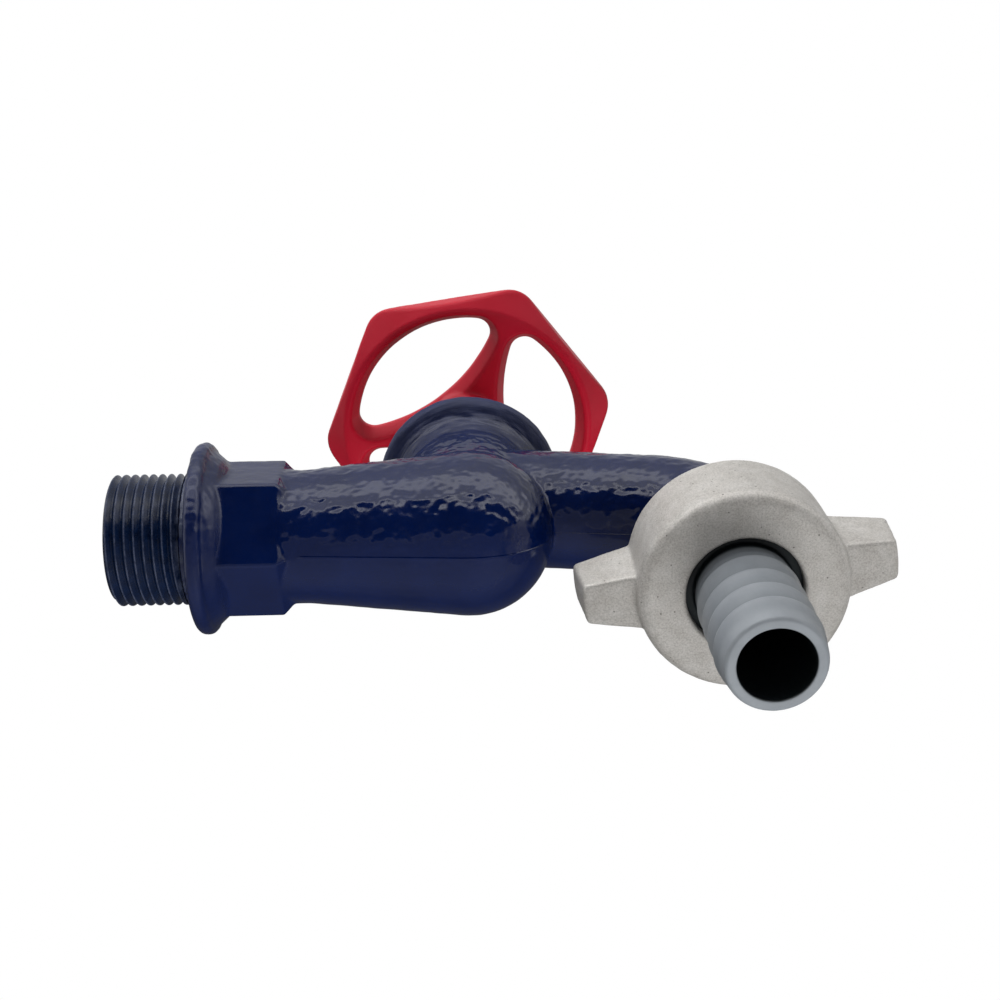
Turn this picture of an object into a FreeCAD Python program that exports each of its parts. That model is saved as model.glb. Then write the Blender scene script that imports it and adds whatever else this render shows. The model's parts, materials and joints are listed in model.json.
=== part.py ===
"""Double service garden tap: a cast valve body with a rising spindle and a wing-nut hose union.

Millimetres. The origin is the centre of the inlet flange's wall face, on the inlet axis.
+X points away from the wall, +Z points up towards the handle, and Y is the tap's symmetry normal.
"""
import FreeCAD
import Part
import math
import os
from functools import partial

from FreeCAD import Placement, Rotation, Vector

# Driving layout
SPINDLE_X = 54.5          # wall face to the spindle axis
OUTLET_X = 104.6          # wall face to the outlet axis

# Inlet pipe thread, size 3/4
INLET_MAJOR_R = 13.22
INLET_PITCH = 1.814
INLET_LENGTH = 16.5
INLET_THREAD_TURN = -164.5   # degrees that sets where the thread starts
INLET_NECK_R = 13.7       # plain neck between the thread and the flange
INLET_NECK_L = 1.7
INLET_BORE_R = 9.6
INLET_CHAMFER = 0.4

# Inlet flange and spanner hexagon
FLANGE_R = 19.3
FLANGE_T = 3.3
FLANGE_ROUND = 1.5
FLANGE_CONE_L = 3.6       # slope from the flange down to the hexagon
FLANGE_CONE_R = 18.2
FLANGE_CONE_CORNER_L = 2.1   # where the slope meets the hexagon's corners
FLANGE_CONE_SINK = 0.4    # slope's start below the flange's face
HEX_AF = 27.6             # across flats
HEX_END_X = 17.1
HEX_TURN = -3.2           # degrees that the hexagon is turned about the inlet axis
HEX_CHAMFER_L = 2.2

# Barrel and valve chamber
BARREL_R = 13.45
BARREL_STRAIGHT_X = 21.9  # where the barrel starts to widen
CHAMBER_R = 16.7
CHAMBER_WALL = 3.4
PARTITION_BOTTOM_Z = -1.0
PARTITION_TOP_Z = 2.2
UPPER_BORE_R = 11.0
INLET_END_WALL = 2.5      # wall between the inlet bore and the upper chamber

# Boss that holds the headwork
NECK_R = 14.6
BOSS_TOP_Z = 30.5
BOSS_FLANGE_R = 19.6
BOSS_FLANGE_T = 3.2
BOSS_FLANGE_ROUND = 1.3
BOSS_CONE_H = 3.6
BOSS_CONE_R = 18.2
BONNET_BORE_R = 12.2
BONNET_THREAD_L = 10.0

# Spout
SPOUT_R = 12.3
SPOUT_BORE_R = 8.6
SPOUT_SLOPE = 10.0        # degrees below level
SPOUT_BEND_R = 15.0
SPOUT_BEND_START_Z = 8.0
SPOUT_BORE_START = 6.0    # from the spindle axis
COLLAR_STEP = 0.72        # collar's radius inside the outlet thread's crest
COLLAR_H = 4.2

# Outlet thread, size 1, and union
OUTLET_MAJOR_R = 16.62
OUTLET_PITCH = 2.309
OUTLET_THREAD_TOP_Z = -13.2
OUTLET_THREAD_L = 11.0
OUTLET_CHAMFER = 0.9
OUTLET_GASKET_T = 2.0
UNION_FLANGE_IN = 1.02    # radius of the gasket and the tail's flange inside the thread's crest
OUTLET_GASKET_HOLE_R = 9.0

# Wing nut
NUT_BACK_GAP = 0.4        # nut's back face below the start of the outlet thread
NUT_WALL = 3.18           # outlet thread's crest to the nut's outside
NUT_DRAFT = 0.05          # widening from the back to the front
NUT_ROUND = 2.5
NUT_FACE_T = 2.8
NUT_HOLE_R = 10.95
NUT_HOLE_ROUND = 0.4
NUT_BORE_CLEARANCE = 0.13
NUT_LEAD_IN = 0.8
WING_TURN = -8.0          # degrees about the outlet axis
WING_L = 10.8             # nut's outside to the wing's tip, at the wing's back
WING_TIP_LEAN = 1.1       # tip's front inside its back
WING_ROOT_SINK = 0.4      # wing's root inside the middle of the nut's wall
WING_ROOT_W = 11.5
WING_TIP_W = 7.7
WING_ROOT_FRONT = 2.6     # wing's root front edge behind the nut's front face
WING_TIP_FRONT = 5.3
WING_TIP_BACK = 1.6
WING_ROUND = 0.9

# Hose tail
TAIL_FLANGE_T = 2.5
TAIL_LENGTH = 32.4        # flange top to mouth
TAIL_BORE_R = 6.7
TAIL_ROOT_R = 9.25
TAIL_CREST_R = 9.65
TAIL_MOUTH_R = 9.0        # where the last barb's slope ends
TAIL_MOUTH_H = 1.8
TAIL_TIP_R = 8.8
TAIL_MOUTH_ROUND = 0.45
TAIL_BORE_CHAMFER = 0.2
BARB_COUNT = 4
BARB_PITCH = 5.6
BARB_LAND = 0.5           # level crest of each barb
BARB_BACK_H = 0.3         # short slope on the flange's side of a crest
BARB_GROOVE_H = 0.9       # crest's land to the foot of the next slope
BARB_MOUTH_GAP = 6.2      # last crest to the mouth

# Headwork
BONNET_GASKET_T = 1.2
BONNET_GASKET_R = 16.4
BONNET_FIT = 0.1
BONNET_COLLAR_R = 16.8
BONNET_COLLAR_T = 2.5
BONNET_HEX_AF = 26.0
BONNET_HEX_H = 6.0
BONNET_NECK_R = 8.4
BONNET_NECK_H = 9.3
BONNET_WEB_T = 1.8
BONNET_STUB_CHAMFER = 0.8
BONNET_EDGE_CHAMFER = 0.6
STUFFING_R = 7.0
STUFFING_DEPTH = 8.5
GLAND_WASHER_T = 1.0
PACKING_COUNT = 3
PACKING_T = 1.8
PACKING_FIT = 0.05
FOLLOWER_H = 3.1
GLAND_FIT = 0.1
GLAND_NUT_AF = 20.0
GLAND_NUT_SKIRT = 7.5
GLAND_NUT_TOP_T = 2.0

# Spindle, closed position
SPINDLE_THREAD_R = 6.0
SPINDLE_PITCH = 3.0
SPINDLE_THREAD_DEPTH = 1.2
SPINDLE_THREAD_CLEARANCE = 0.15
SPINDLE_FLANK = 15.0         # degrees
SPINDLE_CREST = 0.9
SPINDLE_THREAD_START = 3.0   # above the spindle's lower end
SPINDLE_ENGAGED_L = 11.5     # thread that stays in the bonnet when the tap is open
SPINDLE_R = 4.5
SPINDLE_FIT = 0.1
SPINDLE_FOOT_STEP = 0.4      # foot's radius below the thread's root
SPINDLE_CHAMFER_SHARE = 0.7  # of the thread's depth
SPINDLE_RISE = 7.5           # 2.5 turns of the 3 mm lead
SQUARE_SIDE = 6.2
SQUARE_L = 10.6
SQUARE_FIT = 0.05
SQUARE_CORNER_CUT = 0.2      # square's corners inside the shank's radius
HANDLE_GAP = 5.8             # gland nut to the handle's hub, closed

# Jumper valve
SEAT_RING_R = 8.6
SEAT_HOLE_R = 6.4
SEAT_RING_DEPTH = 1.6
SEAT_LIP = 1.2
SEAT_LIP_W = 1.0
SEAT_LIP_SLOPE = 0.5
WASHER_R = 8.2
WASHER_T = 3.5
JUMPER_R = 8.4
JUMPER_PLATE_T = 2.0
JUMPER_STEM_R = 2.9
JUMPER_STEM_L = 9.0
JUMPER_STUD_R = 2.0
JUMPER_FIT = 0.1
JUMPER_SOCKET_SPARE = 1.0    # socket's depth beyond the stem
JUMPER_STUD_SPARE = 0.5      # stud's length beyond its nut
WASHER_NUT_AF = 7.0
WASHER_NUT_H = 2.6

# Handle
HANDLE_VERTEX_R = 36.35
HANDLE_CORNER_ROUND = 7.0
HANDLE_RIM_T = 7.4
HANDLE_TURN = 51.7        # degrees of the first spoke about the spindle axis
HANDLE_CONE_W = 6.35       # corner to where the sloped underside starts
HANDLE_EDGE_H = 1.05       # corner's upright edge below the rim's top
HANDLE_TOP_CHAMFER = 1.2
HUB_R = 9.2
HUB_FOOT_R = 8.2
HUB_H = 14.3
HUB_TOP_RISE = 0.6        # hub's top above the rim's top
HUB_FOOT_CHAMFER = 0.6
HUB_TOP_CHAMFER = 0.8
RECESS_R = 6.4
RECESS_DEPTH = 2.8
OPENING_RIM_W = 9.55      # corner to the opening's outer edge
OPENING_INNER_P = 9.55    # spindle axis to the middle of the opening's inner edge
OPENING_INNER_BEND_R = 41.2
OPENING_ROUND = 3.5
OPENING_FLARE = 2.0       # widening at the handle's underside
OPENING_FLARE_H = 4.7
OPENING_TOP_FLARE = 0.8
SPOKES = 3

# Handle screw
SCREW_R = 2.4
SCREW_L = 10.5
SCREW_HEAD_R = 4.6
SCREW_HEAD_H = 2.8
SCREW_SLOT_W = 1.2
SCREW_SLOT_DEPTH = 1.4
SCREW_WASHER_R = 5.4
SCREW_WASHER_T = 1.0
SCREW_FIT = 0.05
SCREW_TIP_CHAMFER = 0.5
SCREW_HOLE_SPARE = 0.5    # hole's depth beyond the screw's tip
SCREW_EDGE_H = 1.26       # head's upright edge
SCREW_DOME_IN = 0.644     # head's shoulder inside its radius
SCREW_DOME_DROP = 0.56    # shoulder below the top
SCREW_TOP_IN = 2.3        # flat top inside the head's radius

# Worked-out levels, from the seat up and from the spout down
EPS = 0.5                 # overshoot of a cutting tool
TINY = 1e-6               # tolerance for finding edges and faces
SMALL_CHAMFER = 0.4
NUT_CHAMFER_SHARE = 0.6   # of a hexagon's corner height
THREAD_RUNOUT = 1.5       # turns of the groove beyond each end of its rod
THREAD_STOCK = 4          # turns of rod beyond each end while the groove is cut
GROOVE_REACH = 0.3        # thread groove's tool beyond the crest
PIPE_CREST_SHARE = 0.08   # level crest of a pipe thread, as a share of its pitch
PIPE_DEPTH_SHARE = 0.64
PIPE_FLANK = 27.5         # degrees
SEAT_TOP_Z = PARTITION_TOP_Z + SEAT_LIP
JUMPER_BOTTOM_Z = SEAT_TOP_Z + WASHER_T
JUMPER_TOP_Z = JUMPER_BOTTOM_Z + JUMPER_PLATE_T
SPINDLE_BOTTOM_Z = JUMPER_TOP_Z + JUMPER_FIT
BONNET_SEAT_Z = BOSS_TOP_Z + BONNET_GASKET_T
BONNET_STUB_Z = BOSS_TOP_Z - BONNET_THREAD_L
BONNET_HEX_Z = BONNET_SEAT_Z + BONNET_COLLAR_T
BONNET_HEX_TOP_Z = BONNET_HEX_Z + BONNET_HEX_H
BONNET_TOP_Z = BONNET_HEX_TOP_Z + BONNET_NECK_H
STUFFING_Z = BONNET_TOP_Z - STUFFING_DEPTH
PACKING_Z = STUFFING_Z + GLAND_WASHER_T
FOLLOWER_Z = PACKING_Z + PACKING_COUNT * PACKING_T
GLAND_SHOULDER_Z = FOLLOWER_Z + FOLLOWER_H
GLAND_NUT_TOP_Z = GLAND_SHOULDER_Z + GLAND_NUT_TOP_T
GLAND_NUT_BOTTOM_Z = GLAND_SHOULDER_Z - GLAND_NUT_SKIRT
HUB_BOTTOM_Z = GLAND_NUT_TOP_Z + HANDLE_GAP
HUB_TOP_Z = HUB_BOTTOM_Z + HUB_H
RIM_TOP_Z = HUB_TOP_Z - HUB_TOP_RISE
RIM_BOTTOM_Z = RIM_TOP_Z - HANDLE_RIM_T
RECESS_Z = HUB_TOP_Z - RECESS_DEPTH
SQUARE_Z = RECESS_Z - SPINDLE_FIT - SQUARE_L
SPINDLE_TOP_Z = SQUARE_Z + SQUARE_L
OUTLET_END_Z = OUTLET_THREAD_TOP_Z - OUTLET_THREAD_L
TAIL_TOP_Z = OUTLET_END_Z - OUTLET_GASKET_T
NUT_SHOULDER_Z = TAIL_TOP_Z - TAIL_FLANGE_T
NUT_FRONT_Z = NUT_SHOULDER_Z - NUT_FACE_T
NUT_BACK_Z = OUTLET_THREAD_TOP_Z - NUT_BACK_GAP
COLLAR_R = OUTLET_MAJOR_R - COLLAR_STEP
UNION_FLANGE_R = OUTLET_MAJOR_R - UNION_FLANGE_IN
NUT_BORE_R = OUTLET_MAJOR_R + NUT_BORE_CLEARANCE
NUT_R = OUTLET_MAJOR_R + NUT_WALL
NUT_FRONT_R = NUT_R + NUT_DRAFT
WING_TIP_R = NUT_R + WING_L
WING_TIP_FRONT_R = WING_TIP_R - WING_TIP_LEAN
SPINDLE_THREAD_L = SPINDLE_ENGAGED_L + SPINDLE_RISE

Z_AXIS = Vector(0, 0, 1)
HEX_SIDES = 6


# Shared shapes

def cylinder(radius, low, high, x=0.0):
    """Upright cylinder about a vertical axis at x."""
    return Part.makeCylinder(radius, high - low, Vector(x, 0, low))


def ring(hole, radius, low, high, x=0.0):
    """Upright flat ring."""
    return cylinder(radius, low, high, x).cut(cylinder(hole, low - EPS, high + EPS, x))


def turned(points, x=0.0):
    """Solid turned about a vertical axis at x from (radius, height) points."""
    corners = [Vector(r, 0, z) for r, z in points]
    face = Part.Face(Part.makePolygon(corners + corners[:1]))
    solid = face.revolve(Vector(), Z_AXIS, 360)
    return moved(solid, x)


def moved(shape, x=0.0, y=0.0, z=0.0):
    """Copy of a shape at another place."""
    copy = shape.copy()
    copy.translate(Vector(x, y, z))
    return copy


def spun(shape, degrees, x=0.0):
    """Copy of a shape turned about the vertical axis at x."""
    copy = shape.copy()
    copy.rotate(Vector(x, 0, 0), Z_AXIS, degrees)
    return copy


def laid_along_x(shape):
    """Copy of an upright shape with its height pointing along +X."""
    copy = shape.copy()
    copy.Placement = Placement(Vector(), Rotation(Vector(0, 1, 0), 90)).multiply(copy.Placement)
    return copy


def corner_r(across_flats):
    """Radius through the corners of a hexagon."""
    return across_flats / 2 / math.cos(math.pi / HEX_SIDES)


def hexagon_wire(across_flats, z, turn=0.0):
    """Level hexagonal outline."""
    vertex_r = corner_r(across_flats)
    angles = [math.radians(turn) + 2 * math.pi / HEX_SIDES * k for k in range(HEX_SIDES)]
    corners = [Vector(vertex_r * math.cos(a), vertex_r * math.sin(a), z) for a in angles]
    return Part.makePolygon(corners + corners[:1])


def hexagon(across_flats, low, high, turn=0.0, x=0.0):
    """Upright hexagonal prism."""
    prism = Part.Face(hexagon_wire(across_flats, low, turn)).extrude(Vector(0, 0, high - low))
    return moved(prism, x)


def nut_blank(across_flats, low, high, x=0.0, both_ends=True):
    """Hexagon whose corners are turned off at its ends, as on a machined nut."""
    vertex_r = corner_r(across_flats)
    flat_r = across_flats / 2
    drop = (vertex_r - flat_r) * NUT_CHAMFER_SHARE
    foot = [(0, low), (flat_r, low), (vertex_r, low + drop)] if both_ends else [(0, low), (vertex_r, low)]
    outline = foot + [(vertex_r, high - drop), (flat_r, high), (0, high)]
    return hexagon(across_flats, low, high, 0, x).common(turned(outline, x))


def threaded_rod(major_r, pitch, depth, crest, flank_degrees, outline):
    """Rod with a helical thread about the Z axis, turned to an outline of (radius, height) points.

    The groove runs out inside a longer rod before the outline cuts the rod to length.
    """
    low = min(z for r, z in outline)
    high = max(z for r, z in outline)
    slope = math.tan(math.radians(flank_degrees))
    outer_half = (pitch - crest) / 2 + GROOVE_REACH * slope
    root_half = outer_half - (depth + GROOVE_REACH) * slope
    start = Vector(0, 0, low - THREAD_RUNOUT * pitch)
    corners = [
        start + Vector(major_r + GROOVE_REACH, 0, -outer_half),
        start + Vector(major_r + GROOVE_REACH, 0, outer_half),
        start + Vector(major_r - depth, 0, root_half),
        start + Vector(major_r - depth, 0, -root_half),
    ]
    path = Part.makeHelix(pitch, high - low + 2 * THREAD_RUNOUT * pitch, major_r)
    path.translate(start)
    groove = Part.Wire(path).makePipeShell([Part.makePolygon(corners + corners[:1])], True, True)
    rod = cylinder(major_r, low - THREAD_STOCK * pitch, high + THREAD_STOCK * pitch)
    return rod.cut(groove).common(turned(outline))


def one_solid(shape):
    """The single solid that a shape holds, with split faces joined."""
    clean = shape.removeSplitter()
    if len(clean.Solids) != 1:
        raise ValueError(f"expected one solid and found {len(clean.Solids)}")
    return clean.Solids[0]


# Valve body

def spout_path(start_x):
    """Spout centreline in the symmetry plane: a straight slope, then a bend down to the outlet."""
    slope = math.radians(SPOUT_SLOPE)
    centre_x = OUTLET_X - SPOUT_BEND_R
    bend_x = centre_x + SPOUT_BEND_R * math.sin(slope)
    centre_z = SPOUT_BEND_START_Z - SPOUT_BEND_R * math.cos(slope)
    middle = (math.pi / 2 + slope) / 2
    first = Vector(start_x, 0, SPOUT_BEND_START_Z + (bend_x - start_x) * math.tan(slope))
    bend = Vector(bend_x, 0, SPOUT_BEND_START_Z)
    mid = Vector(centre_x + SPOUT_BEND_R * math.sin(middle), 0,
                 centre_z + SPOUT_BEND_R * math.cos(middle))
    last = Vector(OUTLET_X, 0, centre_z)
    edges = [Part.LineSegment(first, bend).toShape(), Part.Arc(bend, mid, last).toShape()]
    return Part.Wire(edges), first, bend - first, centre_z


def spout_tube(radius, start_x):
    """Round tube swept along the spout's centreline, with its straight drop to the outlet thread."""
    path, first, along, bend_end_z = spout_path(start_x)
    section = Part.Wire(Part.makeCircle(radius, first, along))
    swept = path.makePipeShell([section], True, True)
    drop = cylinder(radius, OUTLET_THREAD_TOP_Z, bend_end_z, OUTLET_X)
    return swept.fuse(drop)


def pipe_thread(major_r, pitch, outline):
    """Rod with a pipe thread, turned to an outline."""
    return threaded_rod(major_r, pitch, PIPE_DEPTH_SHARE * pitch, PIPE_CREST_SHARE * pitch,
                        PIPE_FLANK, outline)


def inlet_end():
    """Threaded inlet, wall flange and spanner hexagon, along the inlet axis."""
    thread = pipe_thread(INLET_MAJOR_R, INLET_PITCH, [
        (0, -INLET_LENGTH), (INLET_MAJOR_R - INLET_CHAMFER, -INLET_LENGTH),
        (INLET_MAJOR_R, -INLET_LENGTH + INLET_CHAMFER), (INLET_MAJOR_R, -INLET_NECK_L),
        (0, -INLET_NECK_L),
    ])
    thread = spun(thread, INLET_THREAD_TURN)
    neck = cylinder(INLET_NECK_R, -INLET_NECK_L, FLANGE_T / 2)
    disc = cylinder(FLANGE_R, 0, FLANGE_T)
    disc = disc.makeFillet(FLANGE_ROUND, [e for e in disc.Edges if len(e.Vertexes) == 1])
    hex_low = FLANGE_T + FLANGE_CONE_L
    slope = turned([
        (0, FLANGE_T / 2), (FLANGE_CONE_R, FLANGE_T / 2), (FLANGE_CONE_R, FLANGE_T - FLANGE_CONE_SINK),
        (corner_r(HEX_AF), FLANGE_T + FLANGE_CONE_CORNER_L), (HEX_AF / 2, hex_low), (0, hex_low),
    ])
    hex_body = hexagon(HEX_AF, FLANGE_T / 2, HEX_END_X, HEX_TURN)
    end_af = HEX_AF * BARREL_R / corner_r(HEX_AF)
    wires = [hexagon_wire(HEX_AF, HEX_END_X, HEX_TURN),
             hexagon_wire(end_af, HEX_END_X + HEX_CHAMFER_L, HEX_TURN)]
    hex_end = Part.makeLoft(wires, True, True)
    return laid_along_x(thread.fuse([neck, disc, slope, hex_body, hex_end]))


def barrel():
    """Round barrel that widens until it is tangent to the ball-shaped chamber."""
    run = SPINDLE_X - BARREL_STRAIGHT_X
    widening = math.asin((CHAMBER_R - BARREL_R) / run)
    touch_x = SPINDLE_X - CHAMBER_R * math.sin(widening)
    touch_r = CHAMBER_R * math.cos(widening)
    return laid_along_x(turned([
        (0, HEX_END_X), (BARREL_R, HEX_END_X), (BARREL_R, BARREL_STRAIGHT_X),
        (touch_r, touch_x), (0, touch_x),
    ]))


def boss():
    """Neck and flange that hold the headwork."""
    neck = cylinder(NECK_R, 0, BOSS_TOP_Z - BOSS_FLANGE_T, SPINDLE_X)
    flange_low = BOSS_TOP_Z - BOSS_FLANGE_T
    cone = turned([
        (0, flange_low - BOSS_CONE_H), (NECK_R, flange_low - BOSS_CONE_H),
        (BOSS_CONE_R, flange_low + EPS), (0, flange_low + EPS),
    ], SPINDLE_X)
    disc = cylinder(BOSS_FLANGE_R, flange_low, BOSS_TOP_Z, SPINDLE_X)
    disc = disc.makeFillet(BOSS_FLANGE_ROUND, [e for e in disc.Edges if len(e.Vertexes) == 1])
    return neck.fuse([cone, disc])


def outlet_end():
    """Collar and union thread at the foot of the spout."""
    collar = turned([
        (0, OUTLET_THREAD_TOP_Z + COLLAR_H), (SPOUT_R, OUTLET_THREAD_TOP_Z + COLLAR_H),
        (COLLAR_R, OUTLET_THREAD_TOP_Z), (0, OUTLET_THREAD_TOP_Z),
    ], OUTLET_X)
    rod = pipe_thread(OUTLET_MAJOR_R, OUTLET_PITCH, [
        (0, OUTLET_END_Z), (OUTLET_MAJOR_R - OUTLET_CHAMFER, OUTLET_END_Z),
        (OUTLET_MAJOR_R, OUTLET_END_Z + OUTLET_CHAMFER),
        (OUTLET_MAJOR_R, OUTLET_THREAD_TOP_Z), (0, OUTLET_THREAD_TOP_Z),
    ])
    return collar.fuse(moved(rod, OUTLET_X))


def waterway():
    """Everything that is hollow in the body, from the inlet round the partition to the outlet."""
    bore_end = SPINDLE_X - UPPER_BORE_R - INLET_END_WALL
    inlet = laid_along_x(cylinder(INLET_BORE_R, -INLET_LENGTH - EPS, bore_end))
    under = laid_along_x(cylinder(INLET_BORE_R, bore_end - EPS, SPINDLE_X))
    lower_r = CHAMBER_R - CHAMBER_WALL
    lower = Part.makeSphere(lower_r, Vector(SPINDLE_X, 0, 0)).fuse(under)
    half = Part.makeBox(4 * lower_r, 4 * lower_r, 2 * CHAMBER_R)
    half.translate(Vector(SPINDLE_X - 2 * lower_r, -2 * lower_r, PARTITION_BOTTOM_Z - 2 * CHAMBER_R))
    lower = lower.common(half)
    upper = cylinder(UPPER_BORE_R, PARTITION_TOP_Z, BOSS_TOP_Z + EPS, SPINDLE_X)
    bonnet_bore = cylinder(BONNET_BORE_R, BONNET_STUB_Z, BOSS_TOP_Z + EPS, SPINDLE_X)
    seat_hole = cylinder(SEAT_HOLE_R, PARTITION_BOTTOM_Z - EPS, PARTITION_TOP_Z + EPS, SPINDLE_X)
    seat_pocket = cylinder(SEAT_RING_R, PARTITION_TOP_Z - SEAT_RING_DEPTH, PARTITION_TOP_Z + EPS,
                           SPINDLE_X)
    spout = spout_tube(SPOUT_BORE_R, SPINDLE_X + SPOUT_BORE_START)
    outlet = cylinder(SPOUT_BORE_R, OUTLET_END_Z - EPS, OUTLET_THREAD_TOP_Z + EPS, OUTLET_X)
    return inlet.fuse([lower, upper, bonnet_bore, seat_hole, seat_pocket, spout, outlet])


def tap_body():
    """The one-piece casting."""
    ball = Part.makeSphere(CHAMBER_R, Vector(SPINDLE_X, 0, 0))
    outside = inlet_end().fuse([barrel(), ball, boss(), spout_tube(SPOUT_R, SPINDLE_X), outlet_end()])
    return one_solid(outside.cut(waterway()))


def seat_ring():
    """Hard ring pressed into the partition, with a raised lip that the washer closes on."""
    low = PARTITION_TOP_Z - SEAT_RING_DEPTH
    lip_r = SEAT_HOLE_R + SEAT_LIP_W
    return turned([
        (SEAT_HOLE_R, low), (SEAT_RING_R, low), (SEAT_RING_R, PARTITION_TOP_Z),
        (lip_r + SEAT_LIP_SLOPE, PARTITION_TOP_Z), (lip_r, SEAT_TOP_Z), (SEAT_HOLE_R, SEAT_TOP_Z),
    ], SPINDLE_X)


# Headwork

def bonnet():
    """Screwed headwork body: stub, collar, hexagon and the neck that holds the packing."""
    stub_r = BONNET_BORE_R - BONNET_FIT
    edge = BONNET_EDGE_CHAMFER
    stub = turned([
        (0, BONNET_STUB_Z), (stub_r - BONNET_STUB_CHAMFER, BONNET_STUB_Z),
        (stub_r, BONNET_STUB_Z + BONNET_STUB_CHAMFER), (stub_r, BONNET_SEAT_Z), (0, BONNET_SEAT_Z),
    ], SPINDLE_X)
    collar = turned([
        (0, BONNET_SEAT_Z), (BONNET_COLLAR_R - SMALL_CHAMFER, BONNET_SEAT_Z),
        (BONNET_COLLAR_R, BONNET_SEAT_Z + SMALL_CHAMFER), (BONNET_COLLAR_R, BONNET_HEX_Z - edge),
        (BONNET_COLLAR_R - edge, BONNET_HEX_Z), (0, BONNET_HEX_Z),
    ], SPINDLE_X)
    hex_part = nut_blank(BONNET_HEX_AF, BONNET_HEX_Z, BONNET_HEX_TOP_Z, SPINDLE_X, False)
    neck = turned([
        (0, BONNET_HEX_TOP_Z), (BONNET_NECK_R, BONNET_HEX_TOP_Z),
        (BONNET_NECK_R, BONNET_TOP_Z - edge), (BONNET_NECK_R - edge, BONNET_TOP_Z), (0, BONNET_TOP_Z),
    ], SPINDLE_X)
    thread_bore = cylinder(SPINDLE_THREAD_R + SPINDLE_THREAD_CLEARANCE, BONNET_STUB_Z - EPS,
                           STUFFING_Z - BONNET_WEB_T, SPINDLE_X)
    shank_bore = cylinder(SPINDLE_R + SPINDLE_FIT, BONNET_STUB_Z, BONNET_TOP_Z + EPS, SPINDLE_X)
    stuffing = cylinder(STUFFING_R, STUFFING_Z, BONNET_TOP_Z + EPS, SPINDLE_X)
    blank = stub.fuse([collar, hex_part, neck])
    return one_solid(blank.cut(thread_bore.fuse([shank_bore, stuffing])))


def bonnet_gasket():
    """Fibre ring between the boss and the bonnet's collar."""
    return ring(BONNET_BORE_R, BONNET_GASKET_R, BOSS_TOP_Z, BONNET_SEAT_Z, SPINDLE_X)


def gland_washer():
    """Flat washer at the bottom of the packing."""
    return ring(SPINDLE_R + SPINDLE_FIT, STUFFING_R - GLAND_FIT, STUFFING_Z, PACKING_Z, SPINDLE_X)


def packing_ring(index):
    """One square-section packing ring of the stack."""
    low = PACKING_Z + index * PACKING_T
    return ring(SPINDLE_R + PACKING_FIT, STUFFING_R - PACKING_FIT, low, low + PACKING_T, SPINDLE_X)


def gland_follower():
    """Ring that the gland nut pushes down on the packing."""
    return ring(SPINDLE_R + SPINDLE_FIT, STUFFING_R - GLAND_FIT, FOLLOWER_Z, GLAND_SHOULDER_Z,
                SPINDLE_X)


def gland_nut():
    """Cap nut with a hole for the spindle."""
    blank = nut_blank(GLAND_NUT_AF, GLAND_NUT_BOTTOM_Z, GLAND_NUT_TOP_Z, SPINDLE_X)
    thread_bore = cylinder(BONNET_NECK_R + GLAND_FIT, GLAND_NUT_BOTTOM_Z - EPS, GLAND_SHOULDER_Z,
                           SPINDLE_X)
    shank_bore = cylinder(SPINDLE_R + 2 * SPINDLE_FIT, GLAND_SHOULDER_Z - EPS, GLAND_NUT_TOP_Z + EPS,
                          SPINDLE_X)
    return one_solid(blank.cut(thread_bore.fuse(shank_bore)))


# Spindle and jumper valve

def spindle():
    """Rising spindle: socket for the jumper, lead thread, shank and square."""
    thread_low = SPINDLE_BOTTOM_Z + SPINDLE_THREAD_START
    thread_high = thread_low + SPINDLE_THREAD_L
    chamfer = SPINDLE_THREAD_DEPTH * SPINDLE_CHAMFER_SHARE
    thread = threaded_rod(SPINDLE_THREAD_R, SPINDLE_PITCH, SPINDLE_THREAD_DEPTH, SPINDLE_CREST,
                          SPINDLE_FLANK, [
        (0, thread_low), (SPINDLE_THREAD_R - chamfer, thread_low),
        (SPINDLE_THREAD_R, thread_low + chamfer), (SPINDLE_THREAD_R, thread_high - chamfer),
        (SPINDLE_THREAD_R - chamfer, thread_high), (0, thread_high),
    ])
    foot_r = SPINDLE_THREAD_R - SPINDLE_THREAD_DEPTH - SPINDLE_FOOT_STEP
    foot = cylinder(foot_r, SPINDLE_BOTTOM_Z, thread_low + EPS)
    shank = cylinder(SPINDLE_R, thread_high - EPS, SQUARE_Z)
    half = SQUARE_SIDE / 2
    square = Part.makeBox(SQUARE_SIDE, SQUARE_SIDE, SQUARE_L + EPS, Vector(-half, -half, SQUARE_Z - EPS))
    corner_cut = cylinder(SPINDLE_R - SQUARE_CORNER_CUT, SQUARE_Z - EPS, SPINDLE_TOP_Z)
    shaft = thread.fuse([foot, shank, spun(square.common(corner_cut), HANDLE_TURN)])
    socket = cylinder(JUMPER_STEM_R + JUMPER_FIT, SPINDLE_BOTTOM_Z - EPS,
                      SPINDLE_BOTTOM_Z + JUMPER_STEM_L + JUMPER_SOCKET_SPARE)
    screw_hole = cylinder(SCREW_R + SCREW_FIT, SPINDLE_TOP_Z - SCREW_L, SPINDLE_TOP_Z + EPS)
    return one_solid(moved(shaft.cut(socket.fuse(screw_hole)), SPINDLE_X))


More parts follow.
